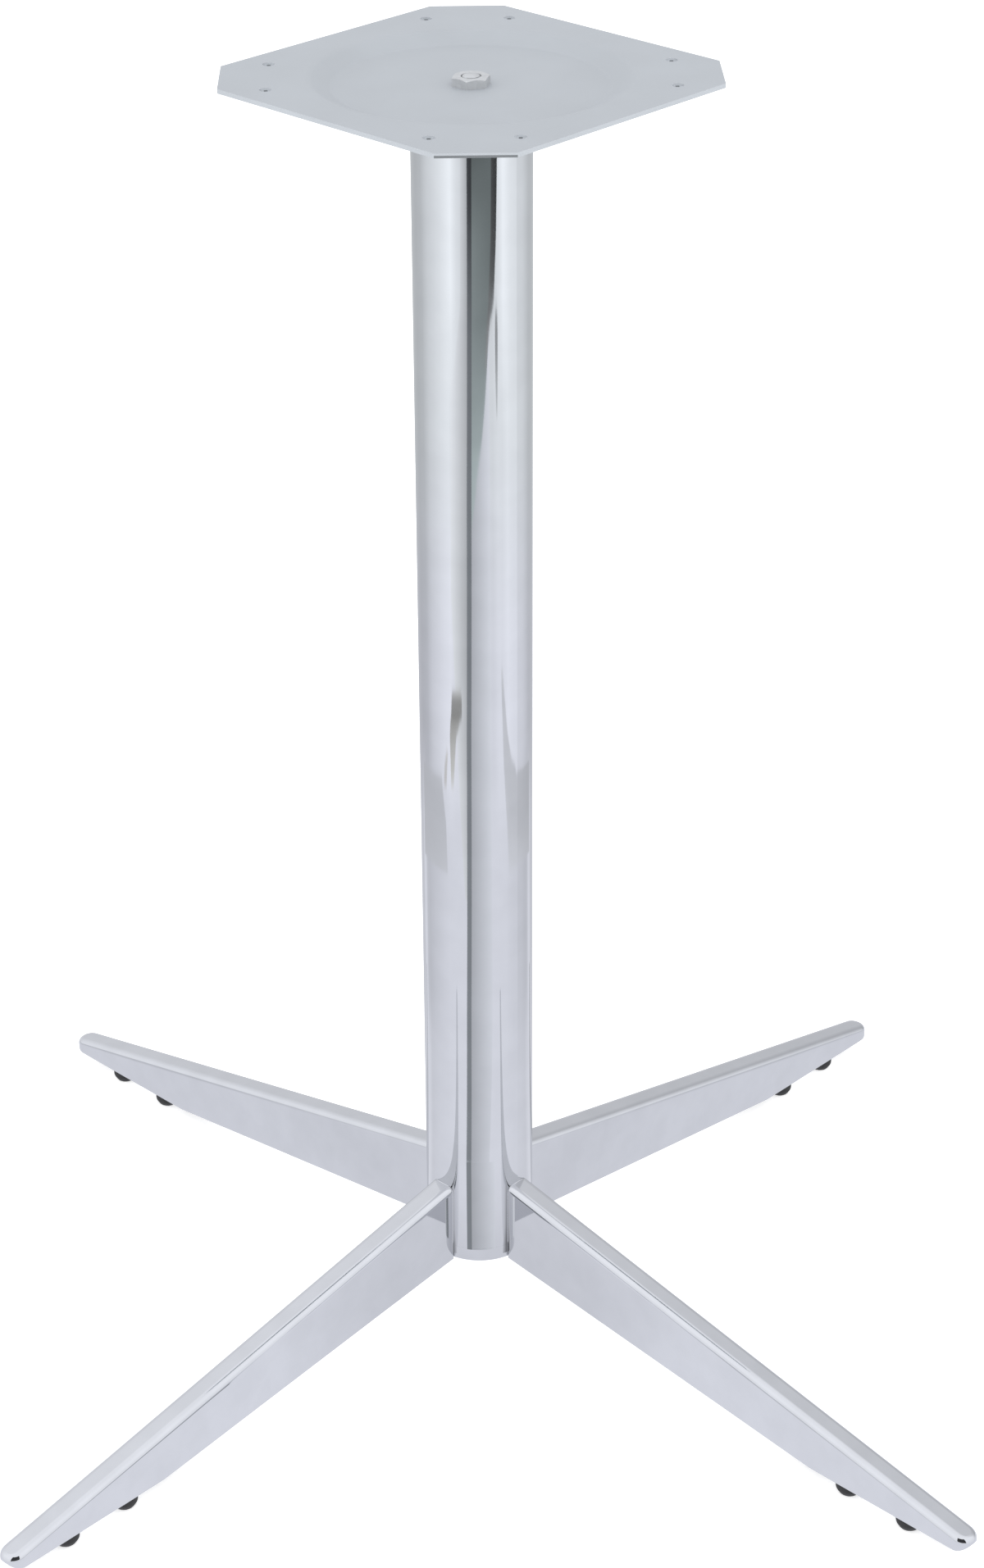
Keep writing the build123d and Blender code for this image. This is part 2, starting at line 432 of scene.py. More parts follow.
class TableBaseStudio(bpy.types.PropertyGroup):
    """The floor, the light and the camera."""

    floor_radius: bpy.props.FloatProperty(
        name="Floor Radius", description="Radius of the pale floor", unit="LENGTH", min=5.0,
        max=100.0, default=60.0,
    )
    floor_colour: bpy.props.FloatVectorProperty(
        name="Floor", description="Colour of the floor", subtype="COLOR", size=4,
        min=0.0, max=1.0, default=linear("#F5F5F5"),
    )
    floor_glow: bpy.props.FloatProperty(
        name="Floor Glow", description="Radiance of the lit floor itself, which softens shadows",
        min=0.0, max=2.0, default=0.55,
    )
    sky_level: bpy.props.FloatProperty(
        name="Soft Light", description="Radiance of the even light from all round", min=0.1,
        max=5.0, default=1.2,
    )
    sky_slope: bpy.props.FloatProperty(
        name="Light Slope", description="Share by which the soft light is stronger on the camera's side",
        min=0.0, max=1.0, default=0.25,
    )
    lens: bpy.props.FloatProperty(
        name="Lens", description="Focal length of the camera for a 36 mm long side", min=20.0,
        max=200.0, default=78.79,
    )
    camera_place: bpy.props.FloatVectorProperty(
        name="Camera", description="Where the camera stands", subtype="XYZ", unit="LENGTH",
        default=(1.1352, -1.1704, 1.2052),
    )
    camera_turn: bpy.props.FloatVectorProperty(
        name="Camera Turn", description="Heading to the left of +Y, tilt below level and roll",
        subtype="EULER", default=(0.76502, 0.493106, -0.005261),
    )


class TABLE_BASE_OT_chromed_parts(bpy.types.Operator):
    """Chrome the column, the foot disc and the four folded legs."""

    bl_idname = "table_base.chromed_parts"
    bl_label = "Chrome Column and Legs"

    def execute(self, context):
        colours = context.scene.table_base_colours
        chrome = chrome_plated_steel(colours)
        dress(["column_tube", "foot_disc"], chrome)
        dress([f"leg_{side}" for side in SIDES], chrome)
        return {"FINISHED"}


class TABLE_BASE_OT_top_plate(bpy.types.Operator):
    """Coat the pressed top plate."""

    bl_idname = "table_base.top_plate"
    bl_label = "Coat Top Plate"

    def execute(self, context):
        dress(["top_plate"], powder_coated_pressed_steel(context.scene.table_base_colours))
        return {"FINISHED"}


class TABLE_BASE_OT_zinc_parts(bpy.types.Operator):
    """Plate the nuts, washer, locating disc and foot strips, and model the threaded rod."""

    bl_idname = "table_base.zinc_parts"
    bl_label = "Rod, Nuts and Strips"

    def execute(self, context):
        zinc = zinc_plated_steel(context.scene.table_base_colours)
        dress(["locating_disc", "top_nut", "lower_washer", "lower_nut", "tie_rod"], zinc)
        dress([f"foot_strip_{side}" for side in SIDES], zinc)
        sizes = context.scene.table_base_sizes
        vertices, faces = threaded_rod(sizes.thread_pitch, sizes.threaded_length)
        new_piece("threaded_rod", vertices, faces, zinc, ["tie_rod"])
        return {"FINISHED"}


def threaded_rod(pitch, threaded_length):
    """A plain shank with a thread run on each end and bevelled tips, as rings up the axis.

    A groove is flat at its root, and its flanks rise evenly to a flat crest.
    """
    crest = (rod_high.x - rod_low.x) / 2
    depth = 0.613 * pitch  # depth of a metric thread
    bevel = 1.0 * MM
    run_out = 2 * pitch
    flank_top = 1.6
    flank_slope = 4.4
    around = 40
    row_height = pitch / 8
    shank_row = 8 * row_height
    margin = 10 * row_height
    heights = []
    level = rod_low.z
    while level < rod_high.z - row_height / 2:
        heights.append(level)
        in_thread = min(level - rod_low.z, rod_high.z - level) < threaded_length
        left = rod_high.z - threaded_length - level
        level += row_height if in_thread or left < margin else shank_row
    heights.append(rod_high.z)
    vertices = [(0.0, 0.0, rod_low.z)]
    for height in heights:
        from_end = min(height - rod_low.z, rod_high.z - height)
        fade = min(1.0, max(0.0, (threaded_length - from_end) / run_out))
        for step, angle in enumerate(angles_round(around)):
            turn = (height / pitch - step / around) % 1.0
            groove = min(1.0, max(0.0, flank_top - flank_slope * abs(turn - 0.5)))
            radius = min(crest - depth * groove * fade, crest - bevel + from_end)
            vertices.append((radius * math.cos(angle), radius * math.sin(angle), height))
    vertices.append((0.0, 0.0, rod_high.z))
    return vertices, capped_faces(len(heights), around)


class TABLE_BASE_OT_rubber_pads(bpy.types.Operator):
    """Mould the eight rubber pads under the legs."""

    bl_idname = "table_base.rubber_pads"
    bl_label = "Rubber Pads"

    def execute(self, context):
        rubber = moulded_rubber(context.scene.table_base_colours)
        rounding = context.scene.table_base_sizes.pad_rounding
        around = 48
        for side in SIDES:
            for place in ("outer", "inner"):
                node = f"pad_{side}_{place}"
                low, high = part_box(node)
                centre = ((low.x + high.x) / 2, (low.y + high.y) / 2)
                vertices, faces = turned(pad_outline(high.z, rounding), around, centre)
                new_piece(f"moulded_pad_{side}_{place}", vertices, faces, rubber, [node])
                dress([node], rubber)
        return {"FINISHED"}


def pad_outline(top, rounding):
    """Half section of a pad: dished sole, round skirt, neck through the strip and barbed head."""
    dish_depth = 0.5 * MM
    head_height = 2.6 * MM
    skirt = (pad_high.x - pad_low.x) / 2
    sole = 0.71 * skirt
    neck = 0.338 * skirt
    barb = 1.24 * neck
    tip = 0.5 * neck
    shoulder = strip_low.z
    flare = 0.45 * shoulder
    corners = [
        (0.0, dish_depth),
        (0.55 * sole, dish_depth),
        (0.68 * sole, 0.0),
        (sole, 0.0),
        (skirt, flare),
        (skirt, shoulder),
        (neck, shoulder),
        (neck, top - head_height),
        (barb, top - head_height),
        (tip, top),
        (0.0, top),
    ]
    return rounded(corners, rounding)


# Heights of the lower and upper ends of the welds at the column and at the strips, how far their
# middle sits in from the inside of a leg's wall, and the seeds of their unevenness.
COLUMN_WELD_LOW = 37 * MM
COLUMN_WELD_HIGH = 78 * MM
STRIP_WELD_LOW = strip_low.z + 0.4 * MM
STRIP_WELD_HIGH = strip_high.z + 0.6 * MM
WELD_INSET = 0.2 * MM
COLUMN_WELD_SEED = 7
STRIP_WELD_SEED = 31


class TABLE_BASE_OT_welds(bpy.types.Operator):
    """Lay the welds inside the legs and strips, and close the seam where the legs seat."""

    bl_idname = "table_base.welds"
    bl_label = "Welds"

    def execute(self, context):
        colours = context.scene.table_base_colours
        sizes = context.scene.table_base_sizes
        chrome = chrome_plated_steel(
            colours, name="chrome-plated weld", wave_height=0.2 * MM, haze=0.12,
        )
        half_inside = leg_high.y - LEG_SHEET
        for side in SIDES:
            turn = Matrix.Rotation(math.radians(LEG_ANGLES[side]), 4, "Z")
            vertices, faces = seam_bead(seat_outline(sizes.seam_radius), sizes.seam_radius)
            new_piece(
                f"seat_seam_{side}", [turn @ v for v in vertices], faces, chrome,
            )
            for hand, sign in (("a", 1), ("b", -1)):
                offset = sign * (half_inside - WELD_INSET)
                reach = math.sqrt(column_high.x ** 2 - offset ** 2) + SEAT_GAP
                start = Vector((reach, offset, COLUMN_WELD_LOW))
                end = Vector((reach, offset, COLUMN_WELD_HIGH))
                vertices, faces = weld_bead(start, end, sizes, COLUMN_WELD_SEED + len(side) + sign)
                new_piece(
                    f"column_weld_{side}_{hand}", [turn @ v for v in vertices], faces, chrome,
                )
                for end_name, x in (("near", strip_low.x), ("far", strip_high.x)):
                    lower = Vector((x, offset, STRIP_WELD_LOW))
                    upper = Vector((x, offset, STRIP_WELD_HIGH))
                    vertices, faces = weld_bead(lower, upper, sizes, STRIP_WELD_SEED + len(side) + sign)
                    new_piece(
                        f"strip_weld_{side}_{end_name}_{hand}", [turn @ v for v in vertices], faces,
                        chrome,
                    )
        return {"FINISHED"}


def seat_outline(bead_radius):
    """The line on which a leg's end meets the column, up one side, over the top and down.

    It runs half the bead's radius inside the leg's outer face, in the middle of the gap.
    """
    wall_steps = 12
    fold_steps = 6
    half = leg_high.y - bead_radius / 2
    top = leg_high.z - bead_radius / 2
    foot = column_low.z + 0.5 * MM
    rise = top - LEG_FOLD - foot
    outline = [(half, foot + rise * step / wall_steps) for step in range(wall_steps)]
    for step in range(fold_steps + 1):
        angle = math.pi / 2 * step / fold_steps
        outline.append((
            half - LEG_FOLD + LEG_FOLD * math.cos(angle), top - LEG_FOLD + LEG_FOLD * math.sin(angle),
        ))
    outline += [(-across, height) for across, height in reversed(outline)]
    seat = column_high.x + SEAT_GAP / 2
    return [Vector((math.sqrt(seat ** 2 - y ** 2), y, z)) for y, z in outline]


def seam_bead(path, radius):
    """A smooth thin bead along a path that lies on the column, closed at both ends."""
    around = 8
    vertices = []
    for index, place in enumerate(path):
        along = (path[min(index + 1, len(path) - 1)] - path[max(index - 1, 0)]).normalized()
        outward = Vector((place.x, place.y, 0.0)).normalized()
        outward = (outward - along * outward.dot(along)).normalized()
        across = along.cross(outward)
        for angle in angles_round(around):
            vertices.append(place + radius * (math.cos(angle) * outward + math.sin(angle) * across))
    ends = [tuple(range(around)), tuple(range(len(vertices) - around, len(vertices)))]
    return vertices, ends + ring_faces(len(path), around)


def weld_bead(start, end, sizes, seed):
    """A rippled round bead between two points, tapered at both ends."""
    mean_share = 0.85
    ripple_share = 0.1
    wander_share = 0.12
    wander_spacing = 6 * MM
    row_spacing = 0.25 * sizes.ripple_spacing
    around = 12
    along = end - start
    length = along.length
    direction = along.normalized()
    side = direction.orthogonal().normalized()
    across = direction.cross(side)
    rows = max(8, round(length / row_spacing))
    vertices = [start]
    for row in range(1, rows):
        share = row / rows
        place = start + along * share
        ripple = ripple_share * math.cos(math.tau * share * length / sizes.ripple_spacing)
        wander = wander_share * noise.noise(Vector((share * length / wander_spacing, seed, 0.5)))
        taper = min(1.0, math.sqrt(min(share, 1 - share) * length / sizes.weld_radius))
        radius = sizes.weld_radius * (mean_share + ripple + wander) * taper
        for angle in angles_round(around):
            vertices.append(place + radius * (math.cos(angle) * side + math.sin(angle) * across))
    vertices.append(end)
    return vertices, capped_faces(rows - 1, around)


# Cards that stand in for the dark cloths and panels of a studio. They show only in the chrome, as
# its darker bands and streaks. Each row is a distance from the column's axis in metres, the
# card's left and right edge in degrees from the direction of the camera, and the radiance at
# those edges. A card with a radius stands upright that far from the axis, and its rows start
# with a height in place of the distance. The painted foot cards are no studio cloths: they stand
# a hair off the column and lay painted reflections on its foot, a dark streak with its shade
# and dark corners where the front legs meet it.
STUDIO_CARDS = {
    "shade": {
        "colour": "#F2F5FC",
        "rows": [
            (0.175, -22.0, 19.0, 0.66, 1.06),
            (0.35, -18.5, 29.0, 0.68, 1.14),
            (0.75, -14.0, 30.0, 0.69, 1.17),
            (1.20, -10.0, 30.0, 0.70, 1.20),
            (1.60, -7.0, 30.0, 0.72, 1.20),
        ],
    },
    "left_shade": {
        "colour": "#F6F9FC",
        "rows": [
            (0.50, -24.0, -17.0, 1.10, 0.94),
            (0.80, -40.0, -13.0, 1.20, 0.66),
            (1.00, -48.0, -13.0, 1.26, 0.66),
            (1.20, -46.0, -10.0, 1.30, 0.67),
            (1.45, -44.0, -8.0, 1.32, 0.64),
            (1.70, -24.0, -7.0, 1.08, 0.57),
            (2.90, -20.0, -4.0, 1.14, 0.55),
        ],
    },
    "cloth": {
        "colour": "#E0EEEE",
        "rows": [
            (1.12, -10.0, -9.0, 0.84, 0.86),
            (1.25, -9.5, 6.0, 0.76, 0.84),
            (1.41, -8.5, 21.0, 0.60, 0.64),
            (1.63, -7.0, 31.0, 0.47, 0.37),
            (1.69, -6.7, 38.5, 0.46, 0.35),
            (1.86, -6.0, 42.5, 0.45, 0.29),
            (2.14, -5.0, 45.0, 0.22, 0.27),
            (2.90, -4.0, 49.0, 0.14, 0.18),
        ],
    },
    "cloth_edge": {
        "colour": "#EAEEEF",
        "rows": [
            (1.50, 22.0, 24.0, 0.50, 0.60),
            (1.63, 26.0, 32.0, 0.36, 0.34),
            (1.69, 29.0, 39.5, 0.28, 0.22),
            (1.90, 34.5, 45.0, 0.16, 0.10),
            (2.20, 36.0, 48.0, 0.12, 0.04),
            (2.90, 38.5, 51.5, 0.10, 0.03),
        ],
    },
    "rail": {
        "colour": "#E6EDF4",
        "rows": [
            (0.175, -26.0, -16.2, 0.44, 0.40),
            (0.35, -23.0, -14.0, 0.44, 0.40),
            (0.75, -18.5, -9.5, 0.42, 0.38),
            (1.20, -14.5, -5.5, 0.37, 0.33),
            (1.60, -11.5, -3.0, 0.31, 0.26),
            (2.00, -10.0, -1.5, 0.12, 0.08),
            (2.90, -9.0, 0.5, 0.06, 0.04),
        ],
    },
    "spot": {
        "colour": "#F8F8F4",
        "rows": [
            (0.660, -52.0, -47.0, 0.98, 0.98),
            (0.705, -53.0, -43.0, 0.80, 0.84),
            (0.740, -54.0, -40.0, 0.66, 0.72),
            (0.765, -52.5, -33.0, 0.54, 0.56),
            (0.776, -50.5, -28.0, 0.40, 0.38),
            (0.794, -49.5, -28.0, 0.36, 0.36),
            (0.804, -49.0, -28.0, 0.46, 0.46),
            (0.814, -47.0, -31.0, 0.92, 0.88),
        ],
    },
    "spot_tail": {
        "colour": "#F8F6F4",
        "rows": [
            (0.655, -69.0, -63.0, 0.84, 0.84),
            (0.685, -67.0, -61.0, 0.86, 0.86),
            (0.710, -62.0, -58.0, 0.98, 0.98),
        ],
    },
    "streak": {
        "colour": "#EEF2F4",
        "rows": [
            (1.38, 44.0, 46.0, 0.95, 1.00),
            (1.48, 42.5, 47.0, 0.66, 0.72),
            (1.58, 42.0, 47.5, 0.42, 0.50),
            (1.66, 42.5, 46.5, 0.56, 0.62),
        ],
    },
    "rim_left": {
        "colour": "#F2F4FA",
        "rows": [
            (0.525, -135.0, -62.0, 0.84, 1.02),
            (0.595, -135.0, -65.0, 0.78, 0.90),
            (0.665, -135.0, -74.0, 0.76, 0.90),
        ],
    },
    "rim_right": {
        "colour": "#F2F4FA",
        "rows": [
            (0.525, 68.0, 135.0, 1.08, 0.84),
            (0.595, 64.0, 135.0, 0.98, 0.72),
            (0.665, 58.0, 135.0, 1.00, 0.72),
        ],
    },
    "stroke": {
        "colour": "#F2F4FA",
        "rows": [
            (0.54, 76.0, 98.0, 1.04, 0.96),
            (0.61, 70.0, 96.0, 0.94, 0.88),
            (0.68, 57.0, 80.0, 0.96, 0.92),
            (0.74, 55.0, 65.0, 1.00, 0.97),
            (0.80, 53.0, 59.0, 0.92, 0.98),
            (0.85, 52.0, 55.0, 1.10, 1.10),
        ],
    },
    # Painted reflections: these cards stand a hair off the column, so the chrome shows them as a dark
    # streak and shade up its foot and as dark corners at the front legs' joints.
    "painted_foot_streak": {
        "colour": "#E6EDF4",
        "radius": 0.0305,
        "rows": [(0.043, -14.2, -9.0, 0.44, 0.40), (0.103, -14.2, -9.0, 0.44, 0.40)],
    },
    "painted_foot_shade": {
        "colour": "#F2F5FC",
        "radius": 0.0305,
        "rows": [(0.043, -9.0, 16.8, 0.66, 1.08), (0.103, -9.0, 16.8, 0.69, 1.18)],
    },
    "painted_joint_shade_left": {
        "colour": "#F0F2FA",
        "radius": 0.0305,
        "rows": [
            (0.0385, -31.0, -26.5, 0.22, 0.85),
            (0.0440, -31.0, -26.5, 0.22, 0.92),
            (0.0550, -31.0, -28.0, 0.45, 0.92),
            (0.0850, -31.0, -28.8, 0.62, 0.92),
        ],
    },
    "painted_joint_shade_right": {
        "colour": "#F0F2FA",
        "radius": 0.0305,
        "rows": [
            (0.0385, 25.5, 31.0, 0.85, 0.14),
            (0.0450, 26.0, 31.0, 0.92, 0.14),
            (0.0570, 27.5, 31.0, 0.92, 0.36),
            (0.0850, 28.3, 31.0, 0.92, 0.52),
        ],
    },
    "front_panel": {
        "colour": "#F2F4FA",
        "radius": 1.90,
        "rows": [(0.25, -30.0, 30.0, 0.06, 0.06), (2.6, -30.0, 30.0, 0.06, 0.06)],
    },
}

# Radiance of the floor round the base as the chrome mirrors it, in five zones from far out to
# under the column. Each row is an angle at the column in degrees and the radiance there. The far
# and middle zones measure the angle from a line turned FAR_FLOOR_TURN degrees away from the
# camera's direction, and the other three from that direction itself.
FAR_FLOOR_TURN = 8.5
FAR_FLOOR = [
    (0, 1.10), (28, 1.10), (41, 1.28), (51, 1.50), (63, 1.36),
    (75, 1.24), (89, 1.13), (104, 1.02), (122, 0.80), (142, 0.72), (180, 0.68),
]
MID_FLOOR = [
    (0, 1.14), (28, 1.14), (38, 1.24), (48, 1.24), (59, 1.34),
    (75, 1.24), (89, 1.13), (104, 1.02), (122, 0.80), (142, 0.72), (180, 0.68),
]
NEAR_FLOOR = [
    (0, 1.16), (40, 1.16), (60, 1.14), (80, 1.05), (98, 0.96), (115, 0.86), (124, 0.88),
    (129, 1.06), (136, 1.06), (144, 0.82), (180, 0.76),
]
LEG_FLOOR = [
    (0, 1.16), (50, 1.16), (90, 1.08), (112, 1.00), (122, 1.06), (136, 1.06), (144, 0.86),
    (180, 0.74),
]
# Painted shade: under the column the floor glows less than under the legs, standing in for the base's
# own shadow round its foot, which the glowing floor doesn't receive.
FOOT_FLOOR = [(0, 0.99), (70, 0.99), (110, 1.02), (180, 1.02)]

# Distances from the column's axis, in metres, between which a zone of the floor turns into the
# next one out.
LEG_ZONE = (0.05, 0.16)
NEAR_ZONE = (0.26, 0.38)
MID_ZONE = (0.54, 0.74)
FAR_ZONE = (1.30, 1.80)

# Radiance of the tent by height, from the horizon at 0 to overhead at 1, behind the base and
# on the camera's side, where the main lamps shine through its cloth. Behind the base it leans,
# brighter to the left and darker to the right by that share. The back turns into the front
# between two angles away from the camera's direction: the one with the cosine TENT_TURN, and 90
# degrees.
TENT_BACK = [
    (0.0, 0.92), (0.10, 0.885), (0.25, 0.86), (0.50, 0.91), (0.72, 0.975), (0.90, 1.15), (1.0, 1.28),
]
TENT_FRONT = [(0.0, 1.20), (0.30, 1.25), (0.50, 1.33), (0.75, 1.35), (0.90, 1.33), (1.0, 1.28)]
TENT_BACK_LEAN = 0.33
TENT_TURN = -0.60
TENT_RADIUS = 9.0

# The lit floor turns from its first colour to its second between the distances COLOUR_ZONE, in
# metres. It and the lying cards are stacked on the pale floor, each one LAYER above the last.
COLOUR_ZONE = (0.8, 1.4)
LAYER = 0.4 * MM
CIRCLE_STEPS = 96


class TABLE_BASE_OT_studio(bpy.types.Operator):
    """Make the pale floor, the soft light, what the chrome mirrors, and the camera."""

    bl_idname = "table_base.studio"
    bl_label = "Studio"

    def execute(self, context):
        studio = context.scene.table_base_studio
        context.scene.view_settings.view_transform = "Standard"
        context.scene.view_settings.look = "None"
        make_camera(context, studio)
        make_world(context, studio)
        make_floor(studio)
        make_surroundings(studio)
        return {"FINISHED"}


def make_camera(context, studio):
    """Camera at the photograph's viewing point."""
    heading, tilt, roll = studio.camera_turn
    forward = Vector((
        -math.sin(heading) * math.cos(tilt), math.cos(heading) * math.cos(tilt), -math.sin(tilt),
    ))
    level_right = Vector((math.cos(heading), math.sin(heading), 0.0))
    level_up = level_right.cross(forward)
    right = math.cos(roll) * level_right + math.sin(roll) * level_up
    up = -math.sin(roll) * level_right + math.cos(roll) * level_up
    data = bpy.data.cameras.new("studio_camera")
    data.lens = studio.lens
    data.sensor_width = 36.0
    data.sensor_fit = "AUTO"
    data.clip_start = 0.05
    data.clip_end = 200.0
    camera = bpy.data.objects.new("studio_camera", data)
    turn = Matrix((right, up, -forward)).transposed()
    camera.matrix_world = Matrix.Translation(Vector(studio.camera_place)) @ turn.to_4x4()
    context.scene.collection.objects.link(camera)
    context.scene.camera = camera


def make_world(context, studio):
    """White light from all round, as in a light tent, a little stronger from the camera's side."""
    world = bpy.data.worlds.new("light_tent")
    world.use_nodes = True
    tree = world.node_tree
    tree.nodes.clear()
    heading = level_direction(camera_side(studio))
    place = add_node(tree, "ShaderNodeTexCoord").outputs["Generated"]
    facing = add_node(
        tree, "ShaderNodeVectorMath", {"operation": "DOT_PRODUCT", 1: heading}, {0: place},
    )
    strength = add_node(
        tree, "ShaderNodeMapRange",
        {"From Min": -1.0, "From Max": 1.0, "To Min": studio.sky_level * (1 - studio.sky_slope),
         "To Max": studio.sky_level * (1 + studio.sky_slope)},
        {"Value": facing.outputs["Value"]},
    )
    background = add_node(
        tree, "ShaderNodeBackground", {"Color": (1.0, 1.0, 1.0, 1.0)},
        {"Strength": strength.outputs["Result"]},
    )
    add_node(tree, "ShaderNodeOutputWorld", {}, {"Surface": background.outputs[0]})
    context.scene.world = world


def stage_object(name, vertices, faces, material, levels=None):
    """Adds a piece of the studio, which is no part of the base."""
    mesh = bpy.data.meshes.new(name)
    mesh.from_pydata([tuple(v) for v in vertices], [], faces)
    mesh.materials.append(material)
    if levels:
        attribute = mesh.attributes.new("level", "FLOAT", "POINT")
        for point, level in zip(attribute.data, levels):
            point.value = level
    thing = bpy.data.objects.new(name, mesh)
    bpy.context.scene.collection.objects.link(thing)
    return thing


def only_mirrored(thing):
    """Leaves an object to the reflections of the base alone."""
    thing.visible_camera = False
    thing.visible_diffuse = False
    thing.visible_transmission = False
    thing.visible_volume_scatter = False
    thing.visible_shadow = False


def make_floor(studio):
    """A large pale matte floor."""
    material, tree, output, place = new_material("matte pale floor")
    mottle = add_node(tree, "ShaderNodeTexNoise", {"Scale": 3.0, "Detail": 2.0}, {"Vector": place})
    tone = add_node(
        tree, "ShaderNodeValToRGB",
        {"stops": [(0.3, paler(studio.floor_colour, -0.01)), (0.7, paler(studio.floor_colour, 0.01))]},
        {"Fac": mottle.outputs["Fac"]},
    )
    matte = add_node(tree, "ShaderNodeBsdfDiffuse", {}, {"Color": tone.outputs["Color"]})
    glow = add_node(
        tree, "ShaderNodeEmission", {"Strength": studio.floor_glow}, {"Color": tone.outputs["Color"]},
    )
    both = add_node(tree, "ShaderNodeAddShader", {}, {0: matte.outputs[0], 1: glow.outputs[0]})
    tree.links.new(both.outputs[0], output.inputs["Surface"])
    material.cycles.emission_sampling = "NONE"
    vertices, faces = disc(studio.floor_radius, 0.0)
    floor = stage_object("pale_floor", vertices, faces, material)
    floor.visible_glossy = False


def disc(radius, height):
    """A level disc of one face, round the column's axis."""
    rim = angles_round(CIRCLE_STEPS)
    vertices = [(radius * math.cos(angle), radius * math.sin(angle), height) for angle in rim]
    return vertices, [tuple(range(CIRCLE_STEPS))]


def camera_side(studio):
    """Heading of the camera as seen from the column."""
    return math.atan2(studio.camera_place[1], studio.camera_place[0])


def level_direction(heading):
    """Level unit vector with that heading."""
    return (math.cos(heading), math.sin(heading), 0.0)


def glow_material(name, colour, by_level, far_colour=None):
    """A glowing surface; by_level gives the socket of its radiance from the tree and the place.

    With a far colour, the glow turns from the first colour to that one with distance.
    """
    material, tree, output, place = new_material(name)
    shader = add_node(
        tree, "ShaderNodeEmission", {"Color": colour}, {"Strength": by_level(tree, place)},
    )
    if far_colour:
        distance = add_node(tree, "ShaderNodeVectorMath", {"operation": "LENGTH"}, {0: place})
        share = add_node(
            tree, "ShaderNodeMapRange",
            {"From Min": COLOUR_ZONE[0], "From Max": COLOUR_ZONE[1], "interpolation_type": "SMOOTHSTEP"},
            {"Value": distance.outputs["Value"]},
        )
        mix = add_node(
            tree, "ShaderNodeMix", {"data_type": "RGBA", 6: colour, 7: far_colour},
            {0: share.outputs["Result"]},
        )
        tree.links.new(mix.outputs[2], shader.inputs["Color"])
    tree.links.new(shader.outputs[0], output.inputs["Surface"])
    material.cycles.emission_sampling = "NONE"
    return material


def tabled_level(tree, share, levels, full):
    """Radiance from a table of places and levels, by a share from 0 to 1 of the full place."""
    top = max(level for place, level in levels)
    stops = [(place / full, grey(level / top)) for place, level in levels]
    ramp = add_node(tree, "ShaderNodeValToRGB", {"stops": stops}, {"Fac": share})
    scaled = add_node(
        tree, "ShaderNodeMath", {"operation": "MULTIPLY", 1: top}, {0: ramp.outputs["Color"]},
    )
    return scaled.outputs[0]


def angle_level(tree, place, front, levels):
    """Radiance by the angle at the column between a heading and a place on the floor."""
    flat = add_node(
        tree, "ShaderNodeVectorMath", {"operation": "MULTIPLY", 1: (1.0, 1.0, 0.0)}, {0: place},
    )
    unit = add_node(tree, "ShaderNodeVectorMath", {"operation": "NORMALIZE"}, {0: flat.outputs[0]})
    facing = add_node(
        tree, "ShaderNodeVectorMath", {"operation": "DOT_PRODUCT", 1: level_direction(front)},
        {0: unit.outputs[0]},
    )
    angle = add_node(
        tree, "ShaderNodeMath", {"operation": "ARCCOSINE"}, {0: facing.outputs["Value"]},
    )
    share = add_node(
        tree, "ShaderNodeMath", {"operation": "DIVIDE", 1: math.pi}, {0: angle.outputs[0]},
    )
    return tabled_level(tree, share.outputs[0], levels, 180)


def lit_floor_level(tree, place, front):
    """Radiance of the floor: zones under the column, under the legs and three further out."""
    distance = add_node(tree, "ShaderNodeVectorMath", {"operation": "LENGTH"}, {0: place})
    turned_front = front + math.radians(FAR_FLOOR_TURN)
    level = angle_level(tree, place, front, FOOT_FLOOR)
    zones = (
        (LEG_ZONE, angle_level(tree, place, front, LEG_FLOOR)),
        (NEAR_ZONE, angle_level(tree, place, front, NEAR_FLOOR)),
        (MID_ZONE, angle_level(tree, place, turned_front, MID_FLOOR)),
        (FAR_ZONE, angle_level(tree, place, turned_front, FAR_FLOOR)),
    )
    for (start, end), zone_level in zones:
        outside = add_node(
            tree, "ShaderNodeMapRange",
            {"From Min": start, "From Max": end, "interpolation_type": "SMOOTHSTEP"},
            {"Value": distance.outputs["Value"]},
        )
        mix = add_node(
            tree, "ShaderNodeMix", {"data_type": "FLOAT"},
            {0: outside.outputs["Result"], 2: level, 3: zone_level},
        )
        level = mix.outputs[0]
    return level


